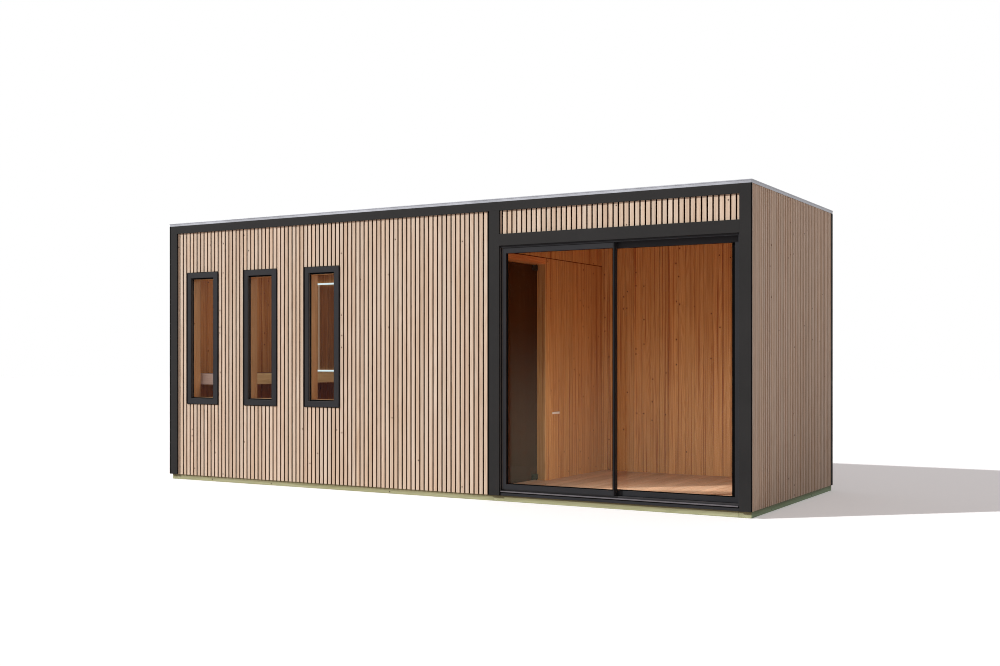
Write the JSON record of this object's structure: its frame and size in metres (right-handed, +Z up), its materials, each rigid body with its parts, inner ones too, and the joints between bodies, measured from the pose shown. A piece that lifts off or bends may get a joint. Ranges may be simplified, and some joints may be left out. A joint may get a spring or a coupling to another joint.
{
  "type": "sauna cabin",
  "caption": "Long flat-roofed garden sauna cabin with upright slatted cladding, narrow windows and a sliding glass door to a lounge beside the sauna room.",
  "frame": {"origin": "middle of the cabin's footprint at ground level", "axes": "+X to the right along the long front, -Y out of the front, +Z up"},
  "size_m": [6, 2.27, 2.54],
  "materials": {
    "treated_beam": "green pressure-treated sawn timber",
    "floor_board": "pale boards, satin",
    "wall_panel": "timber panel, unseen but for the window reveals",
    "lining_board": "warm softwood boards with fine upright grain",
    "roof_sheet": "dark roofing sheet, matte",
    "roof_edge_metal": "folded light grey metal, satin",
    "slat_wood": "pale planed softwood slats, oiled",
    "dark_trim": "charcoal paint, matte",
    "dark_frame": "anthracite powder coat, satin",
    "clear_glass": "clear double glazing",
    "tinted_glass": "brown-grey tinted toughened glass",
    "rail_metal": "plain extruded rail",
    "fitting_metal": "dark patch fittings",
    "handle_wood": "turned wooden bar",
    "pale_vent": "pale slim vent cover",
    "bench_wood": "pale bench boards",
    "panel_wood": "brown backrest panel lit from its edges",
    "light_strip": "lit diffuser strip"
  },
  "bodies": {
    "cabin": {"base_beams_long": "treated_beam", "base_beams_cross": "treated_beam", "floor": "floor_board", "front_wall": "wall_panel", "front_wall_over_door": "wall_panel", "rear_wall": "wall_panel", "left_wall": "wall_panel", "right_wall": "wall_panel", "front_lining": "lining_board", "rear_lining": "lining_board", "end_linings": "lining_board", "ceiling": "lining_board", "roof": "roof_sheet", "roof_flashing": "roof_edge_metal", "front_cladding": "slat_wood", "door_head_cladding": "slat_wood", "left_cladding": "slat_wood", "right_cladding": "slat_wood", "rear_cladding": "slat_wood", "front_corner_posts": "dark_trim", "centre_post": "dark_trim", "rear_corner_posts": "dark_trim", "front_beams": "dark_trim", "window_frame_left": "dark_frame", "window_frame_middle": "dark_frame", "window_frame_right": "dark_frame", "window_panes": "clear_glass", "door_frame_head": "dark_frame", "door_frame_jambs": "dark_frame", "door_sill": "dark_frame", "door_rails": "rail_metal", "partition_wall": "lining_board", "partition_header": "lining_board", "partition_vent": "pale_vent", "bench": "bench_wood", "bench_supports": "bench_wood", "light_panel": "panel_wood", "light_strips": "light_strip"},
    "left_leaf": {"left_leaf_frame": "dark_frame", "left_leaf_glass": "clear_glass"},
    "right_leaf": {"right_leaf_frame": "dark_frame", "right_leaf_glass": "clear_glass"},
    "sauna_door": {"sauna_door_glass": "tinted_glass", "sauna_door_pivots": "fitting_metal", "sauna_door_handle": "handle_wood"}
  },
  "joints": [
    {"name": "left_leaf_slide", "type": "slide", "parent": "cabin", "child": "left_leaf", "axis": [1, 0, 0], "range_m": [0, 1.01]},
    {"name": "right_leaf_slide", "type": "slide", "parent": "cabin", "child": "right_leaf", "axis": [1, 0, 0], "range_m": [-1, 0]},
    {"name": "sauna_door_hinge", "type": "hinge", "parent": "cabin", "child": "sauna_door", "pos_m": [0.666, -0.212, 0], "axis": [0, 0, 1], "range_deg": [0, 90]}
  ]
}
